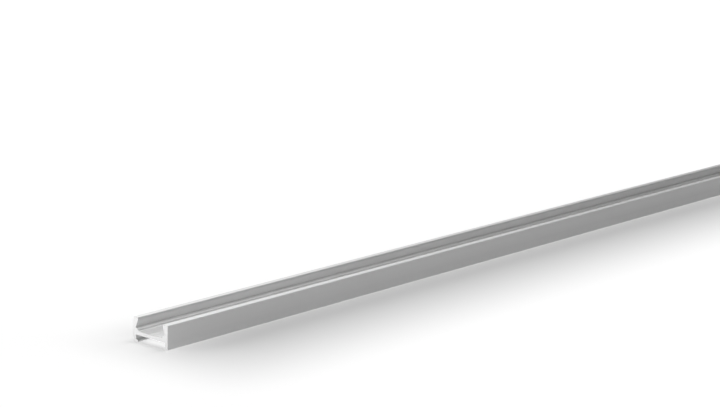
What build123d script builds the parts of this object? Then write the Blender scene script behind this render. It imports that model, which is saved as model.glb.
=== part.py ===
"""Aluminium mounting channel for LED tape, extruded in one piece.

The section is an H: two side walls joined by a web. Above the web lies the tape channel, whose walls are
undercut to hold a snap-in cover. Below it lies a shallow channel with hooked feet for spring clips.

Frame, in millimetres: X along the bar, Y across it, Z up. The origin is under the middle of the bar, on the
plane that the feet stand on.
"""

import os

from build123d import *

# Overall size
length = 1000.0
width = 17.0
height = 8.7

# Walls and web
wall_thickness = 1.3
web_thickness = 1.25
web_clearance = 2.5  # from the soles of the feet up to the web

# Cover undercut, inside the top of each wall
lip_reach = 1.1  # how far the lip stands in from the wall
lip_depth = 0.75  # upright inner face of the lip
ledge_reach = 1.15  # how far the ledge stands in from the wall
ledge_height = 0.75  # upright inner face of the ledge, from the floor
ledge_slope_rise = 0.55  # from the edge of the ledge up to the bottom of the undercut

# Hooked feet of the clip channel
hook_reach = 1.2
hook_tip_height = 0.45
hook_root_height = 1.05

# Drilling guide, a V groove along the middle of the floor
groove_width = 0.8
groove_depth = 0.35

# Rounding left by the extrusion die
outer_radius = 0.3
inner_edge_radius = 0.18
undercut_radius = 0.15
floor_fillet = 0.35
clip_channel_fillet = 0.3

# Places that follow from the sizes above
half_width = width / 2
wall_inside = half_width - wall_thickness
lip_inside = wall_inside - lip_reach
ledge_inside = wall_inside - ledge_reach
hook_inside = wall_inside - hook_reach
floor_level = web_clearance + web_thickness
ledge_level = floor_level + ledge_height
undercut_level = ledge_level + ledge_slope_rise

# Corners of the right half of the section, from the underside of the web round to the groove, with the
# radius of each one
right_half = [
    ((wall_inside, web_clearance), clip_channel_fillet),
    ((wall_inside, hook_root_height), undercut_radius),
    ((hook_inside, hook_tip_height), inner_edge_radius),
    ((hook_inside, 0), inner_edge_radius),
    ((half_width, 0), outer_radius),
    ((half_width, height), outer_radius),
    ((lip_inside, height), inner_edge_radius),
    ((lip_inside, height - lip_depth), inner_edge_radius),
    ((wall_inside, undercut_level), undercut_radius),
    ((ledge_inside, ledge_level), inner_edge_radius),
    ((ledge_inside, floor_level), floor_fillet),
    ((groove_width / 2, floor_level), 0),
]
groove_bottom = ((0, floor_level - groove_depth), 0)
left_half = [((-y, z), radius) for (y, z), radius in reversed(right_half)]
outline = [*right_half, groove_bottom, *left_half]
corners = [corner for corner, radius in outline]
radii = [radius for corner, radius in outline]

with BuildPart() as profile:
    with BuildSketch(Plane.YZ.offset(-length / 2)) as section:
        with BuildLine():
            FilletPolyline(*corners, radius=radii, close=True)
        make_face()
    extrude(amount=length)

profile.part.label = "profile"
os.makedirs("parts", exist_ok=True)
export_step(profile.part, "parts/profile.step")
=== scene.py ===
"""Looks of an aluminium tape channel: satin anodised metal with die lines and sawn ends, in a white studio.

Lengths are in metres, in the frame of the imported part: X along the bar, Y across it, Z up.
"""

from math import radians, tau

import bpy
from mathutils import Matrix, Vector


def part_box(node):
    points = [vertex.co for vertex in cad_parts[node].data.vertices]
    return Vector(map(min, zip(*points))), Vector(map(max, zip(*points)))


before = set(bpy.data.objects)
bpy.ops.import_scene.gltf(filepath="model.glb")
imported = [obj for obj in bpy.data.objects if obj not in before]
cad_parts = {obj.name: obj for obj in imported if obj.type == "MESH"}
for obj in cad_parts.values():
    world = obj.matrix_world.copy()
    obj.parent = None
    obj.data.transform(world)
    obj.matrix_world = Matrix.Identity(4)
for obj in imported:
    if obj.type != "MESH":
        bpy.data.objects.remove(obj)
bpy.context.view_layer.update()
bar_low, bar_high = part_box("profile")
near_foot = Vector((bar_low.x, 0, bar_low.z))  # middle of the near end, on the floor
far_foot = Vector((bar_high.x, 0, bar_low.z))

# Camera, from a fit to the photo's long edges and cut end
lens_millimetres = 100.77
sensor_millimetres = 36.0
nearest_seen = 0.01
view_yaw = radians(40.485)  # from the length of the bar towards its back wall
view_pitch = radians(12.546)  # below the horizon
view_roll = radians(1.376)
right_angle = radians(90)
camera_from_near_corner = Vector((-0.45805, -0.47534, 0.19902))

# Satin anodised aluminium: tone and gloss drift a little from streak to streak
metal_dark = (0.72, 0.72, 0.72)
metal_light = (0.76, 0.76, 0.76)
roughness_low = 0.57
roughness_high = 0.63
gloss_spread_across_lines = 0.45
quarter_turn = 0.25  # in whole turns
streak_width = 2.5e-3
streak_length = 1.5
streak_detail = 2
die_line_width = 0.35e-3
die_line_length = 0.4
die_line_depth = 2.5e-6
die_line_detail = 3
grain_size = 0.1e-3
grain_depth = 0.6e-6
grain_detail = 2

# Sawn ends
end_normal = 0.7  # a face whose normal has more than this along the bar is an end
blade_centre = Vector((0, -0.06, 0.11))  # of the saw that cut across the section
saw_mark_pitch = 0.7e-3
saw_mark_depth = 3e-6

# Floor: each lift is a strength that is added where the floor is seen, and white is the most that they
# reach. The lifts are held back close around the bar and most of all in a strip in front of it, which is
# painted shade and painted shadow on top of the real shadow of the lamps
floor_side = 200.0
floor_colour = (0.5, 0.5, 0.5)
floor_roughness = 0.9
painted_shadow_reach = 0.04  # how far in front of the middle of the bar the shadow strip reaches: real shadow of the lamps, darkened further by painted shadow where the lift is held back
white = 1.0
lift_base = 0.04  # all over, also in the strip of real and painted shadow
lift_near = 0.42
lift_near_span = (-0.03, 0.03)  # out from the bar and its strip of real and painted shadow
lift_far = 0.75
lift_far_span = (0.0, 0.5)  # out from the bar and its strip of real and painted shadow
lift_along = 0.45
lift_along_span = (0.3, 0.8)  # from the near end towards the far end
painted_light_under_bar = 0.42
painted_light_under_bar_span = (-0.002, 0.004)  # in from the outline of the bar: painted light on the floor under the bar, where its shadow falls, leaking a little past the outline

# World: dark in front of the bar and pale behind it
world_strength = 0.66
bright_side = Vector((0, 1, 0))
bright_span = (0.0, 0.8)  # cosine from the bright side, from dark to full strength

# Soft boxes: place from the near foot, place that it faces, side, and power in watts
near_part = near_foot + Vector((0.1, 0, 0))
soft_boxes = {
    "beside_near_end": (Vector((-0.8, 0.7, 0.3)), near_part, 0.5, 4.1),
    "over_near_end": (Vector((0.05, -0.05, 0.8)), near_part, 0.4, 2.5),
    "over_far_part": (Vector((0.5, -0.15, 0.9)), near_part, 0.5, 3.4),
    "over_far_end": (Vector((1.0, 0, 0.35)), far_foot, 0.3, 0.8),
    "in_front": (Vector((-0.1, -0.7, 0.45)), near_part, 0.6, 1.9),
    "behind": (Vector((0.4, 0.9, 0.45)), near_part, 0.6, 1.9),
    "behind_far_part": (Vector((1.0, 0.9, 0.35)), near_part, 0.6, 1.0),
}


def add_node(tree, kind, **settings):
    """A new node in a tree, with its settings by name."""
    node = tree.nodes.new(kind)
    for name, value in settings.items():
        setattr(node, name, value)
    return node


def join(tree, source, target):
    """A link from an output socket to an input socket."""
    tree.links.new(source, target)


def math_node(tree, operation, first, second=0):
    """The result of a sum on one or two sockets or numbers."""
    node = add_node(tree, "ShaderNodeMath", operation=operation)
    for socket, value in zip(node.inputs, (first, second)):
        if isinstance(value, (int, float)):
            socket.default_value = value
        else:
            join(tree, value, socket)
    return node.outputs[0]


def ramp_node(tree, value, span, top):
    """A soft rise from 0 to a top over a span of a value."""
    node = add_node(tree, "ShaderNodeMapRange", interpolation_type="SMOOTHSTEP")
    start, end = span
    node.inputs["From Min"].default_value = start
    node.inputs["From Max"].default_value = end
    node.inputs["To Max"].default_value = top
    join(tree, value, node.inputs["Value"])
    return node.outputs["Result"]


def stretched_noise(tree, place, length, width, detail):
    """Noise drawn out along the bar, from 0 to 1."""
    scale = add_node(tree, "ShaderNodeMapping")
    scale.inputs["Scale"].default_value = (1 / length, 1 / width, 1 / width)
    noise = add_node(tree, "ShaderNodeTexNoise")
    noise.inputs["Scale"].default_value = 1
    noise.inputs["Detail"].default_value = detail
    join(tree, place, scale.inputs["Vector"])
    join(tree, scale.outputs["Vector"], noise.inputs["Vector"])
    return noise.outputs["Fac"]


def saw_marks(tree, place):
    """Arcs that the teeth of a round blade leave across a sawn end, from -1 to 1."""
    reach = add_node(tree, "ShaderNodeVectorMath", operation="SUBTRACT")
    reach.inputs[1].default_value = blade_centre
    across = add_node(tree, "ShaderNodeVectorMath", operation="MULTIPLY")
    across.inputs[1].default_value = (0, 1, 1)
    radius = add_node(tree, "ShaderNodeVectorMath", operation="LENGTH")
    join(tree, place, reach.inputs[0])
    join(tree, reach.outputs["Vector"], across.inputs[0])
    join(tree, across.outputs["Vector"], radius.inputs[0])
    turns = math_node(tree, "MULTIPLY", radius.outputs["Value"], tau / saw_mark_pitch)
    return math_node(tree, "SINE", turns)


def aluminium():
    """Satin anodised aluminium, with die lines along the bar and saw marks on its ends."""
    material = bpy.data.materials.new("satin_anodised_aluminium")
    material.use_nodes = True
    tree = material.node_tree
    shader = tree.nodes["Principled BSDF"]
    shader.inputs["Metallic"].default_value = 1
    place = add_node(tree, "ShaderNodeTexCoord").outputs["Object"]

    normal = add_node(tree, "ShaderNodeSeparateXYZ")
    join(tree, add_node(tree, "ShaderNodeNewGeometry").outputs["Normal"], normal.inputs[0])
    along_bar = math_node(tree, "ABSOLUTE", normal.outputs["X"])
    on_ends = math_node(tree, "GREATER_THAN", along_bar, end_normal)
    on_sides = math_node(tree, "SUBTRACT", 1, on_ends)

    # Lines run along the sides of the bar and across its ends, and spread the gloss square to themselves
    along_lines = add_node(tree, "ShaderNodeCombineXYZ")
    join(tree, on_sides, along_lines.inputs["X"])
    join(tree, on_ends, along_lines.inputs["Y"])
    join(tree, along_lines.outputs["Vector"], shader.inputs["Tangent"])
    shader.inputs["Anisotropic"].default_value = gloss_spread_across_lines
    shader.inputs["Anisotropic Rotation"].default_value = quarter_turn

    streaks = stretched_noise(tree, place, streak_length, streak_width, streak_detail)
    tone = add_node(tree, "ShaderNodeMix", data_type="RGBA")
    tone.inputs["A"].default_value = (*metal_dark, 1)
    tone.inputs["B"].default_value = (*metal_light, 1)
    join(tree, streaks, tone.inputs["Factor"])
    join(tree, tone.outputs["Result"], shader.inputs["Base Color"])
    gloss = add_node(tree, "ShaderNodeMapRange")
    gloss.inputs["To Min"].default_value = roughness_high
    gloss.inputs["To Max"].default_value = roughness_low
    join(tree, streaks, gloss.inputs["Value"])
    join(tree, gloss.outputs["Result"], shader.inputs["Roughness"])

    # Relief in metres, too fine for the mesh
    die_lines = stretched_noise(tree, place, die_line_length, die_line_width, die_line_detail)
    grain = stretched_noise(tree, place, grain_size, grain_size, grain_detail)
    line_relief = math_node(tree, "MULTIPLY", die_lines, die_line_depth)
    line_relief = math_node(tree, "MULTIPLY", line_relief, on_sides)
    saw_relief = math_node(tree, "MULTIPLY", saw_marks(tree, place), saw_mark_depth)
    saw_relief = math_node(tree, "MULTIPLY", saw_relief, on_ends)
    grain_relief = math_node(tree, "MULTIPLY", grain, grain_depth)
    relief = math_node(tree, "ADD", line_relief, saw_relief)
    relief = math_node(tree, "ADD", relief, grain_relief)
    bump = add_node(tree, "ShaderNodeBump")
    bump.inputs["Distance"].default_value = 1
    join(tree, relief, bump.inputs["Height"])
    join(tree, bump.outputs["Normal"], shader.inputs["Normal"])
    return material


def floor_lift(tree):
    """How far the floor is lifted towards white: least close around the bar and in a strip in front of it,
    which paints shade and a shadow there over the real shadow of the lamps, most far out, and raised under
    the bar, which paints light where its shadow falls.
    """
    place = add_node(tree, "ShaderNodeSeparateXYZ")
    join(tree, add_node(tree, "ShaderNodeTexCoord").outputs["Object"], place.inputs[0])
    past_end = math_node(tree, "SUBTRACT", math_node(tree, "ABSOLUTE", place.outputs["X"]), bar_high.x)
    past_side = math_node(tree, "SUBTRACT", math_node(tree, "ABSOLUTE", place.outputs["Y"]), bar_high.y)
    past_back = math_node(tree, "SUBTRACT", place.outputs["Y"], bar_high.y)
    # Painted shadow: the lift is held back in a strip in front of the bar, on top of the real shadow of the
    # lamps
    past_painted_shadow = math_node(tree, "SUBTRACT", -painted_shadow_reach, place.outputs["Y"])
    outward = add_node(tree, "ShaderNodeMath", operation="SMOOTH_MAX")
    outward.inputs[2].default_value = painted_shadow_reach
    join(tree, math_node(tree, "MAXIMUM", past_back, past_painted_shadow), outward.inputs[0])
    join(tree, past_end, outward.inputs[1])
    inward = math_node(tree, "MULTIPLY", math_node(tree, "MAXIMUM", past_side, past_end), -1)
    along = math_node(tree, "SUBTRACT", place.outputs["X"], near_foot.x)
    lift = ramp_node(tree, outward.outputs[0], lift_near_span, lift_near)
    lift = math_node(tree, "ADD", lift, ramp_node(tree, outward.outputs[0], lift_far_span, lift_far))
    # Painted light: the floor under the bar is lifted towards white where the bar's shadow falls
    lift = math_node(tree, "ADD", lift, ramp_node(tree, inward, painted_light_under_bar_span, painted_light_under_bar))
    lift = math_node(tree, "ADD", lift, ramp_node(tree, along, lift_along_span, lift_along))
    lift = math_node(tree, "ADD", lift, lift_base)
    return math_node(tree, "MINIMUM", lift, white)


def add_floor():
    """A plain floor, lifted to white where it is seen, with painted shade close around the bar and a painted
    shadow in front of it over the real shadow of the lamps, and painted light under the bar.
    """
    half = floor_side / 2
    mesh = bpy.data.meshes.new("floor")
    corners = [(x, y, bar_low.z) for x, y in ((-half, -half), (half, -half), (half, half), (-half, half))]
    mesh.from_pydata(corners, [], [(0, 1, 2, 3)])
    floor = bpy.data.objects.new("floor", mesh)
    bpy.context.scene.collection.objects.link(floor)
    material = bpy.data.materials.new("pale_floor")
    material.use_nodes = True
    tree = material.node_tree
    shader = tree.nodes["Principled BSDF"]
    shader.inputs["Base Color"].default_value = (*floor_colour, 1)
    shader.inputs["Roughness"].default_value = floor_roughness
    shader.inputs["Specular IOR Level"].default_value = 0
    shader.inputs["Emission Color"].default_value = (1, 1, 1, 1)
    rays = add_node(tree, "ShaderNodeLightPath")
    seen = math_node(tree, "MAXIMUM", rays.outputs["Is Camera Ray"], rays.outputs["Is Glossy Ray"])
    seen = math_node(tree, "MAXIMUM", seen, rays.outputs["Is Transmission Ray"])
    join(tree, math_node(tree, "MULTIPLY", seen, floor_lift(tree)), shader.inputs["Emission Strength"])
    mesh.materials.append(material)


def add_world():
    """A studio that is dark in front of the bar and pale behind it."""
    world = bpy.data.worlds.new("studio")
    bpy.context.scene.world = world
    world.use_nodes = True
    tree = world.node_tree
    background = tree.nodes["Background"]
    towards = add_node(tree, "ShaderNodeVectorMath", operation="DOT_PRODUCT")
    towards.inputs[1].default_value = bright_side
    join(tree, add_node(tree, "ShaderNodeTexCoord").outputs["Generated"], towards.inputs[0])
    join(tree, ramp_node(tree, towards.outputs["Value"], bright_span, white), background.inputs["Color"])
    background.inputs["Strength"].default_value = world_strength


def add_soft_box(name, from_near_foot, target, side, power):
    """A square lamp that faces a place on the bar and isn't seen itself."""
    lamp = bpy.data.lights.new(name, "AREA")
    lamp.shape = "SQUARE"
    lamp.size = side
    lamp.energy = power
    holder = bpy.data.objects.new(name, lamp)
    bpy.context.scene.collection.objects.link(holder)
    holder.visible_camera = False
    holder.location = near_foot + from_near_foot
    holder.rotation_euler = (target - holder.location).to_track_quat("-Z", "Y").to_euler()


def add_camera():
    """A camera that frames the bar as the photo does."""
    data = bpy.data.cameras.new("camera")
    data.lens = lens_millimetres
    data.sensor_width = sensor_millimetres
    data.sensor_fit = "HORIZONTAL"
    data.clip_start = nearest_seen
    camera = bpy.data.objects.new("camera", data)
    bpy.context.scene.collection.objects.link(camera)
    place = Matrix.Translation(bar_low + camera_from_near_corner)
    turn = Matrix.Rotation(view_yaw - right_angle, 4, "Z")
    tilt = Matrix.Rotation(right_angle - view_pitch, 4, "X")
    roll = Matrix.Rotation(view_roll, 4, "Z")
    camera.matrix_world = place @ turn @ tilt @ roll
    bpy.context.scene.camera = camera


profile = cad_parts["profile"]
profile.data.materials[0] = aluminium()
add_floor()
add_world()
for soft_box_name, soft_box in soft_boxes.items():
    add_soft_box(soft_box_name, *soft_box)
add_camera()

bpy.context.scene.view_settings.view_transform = "Standard"
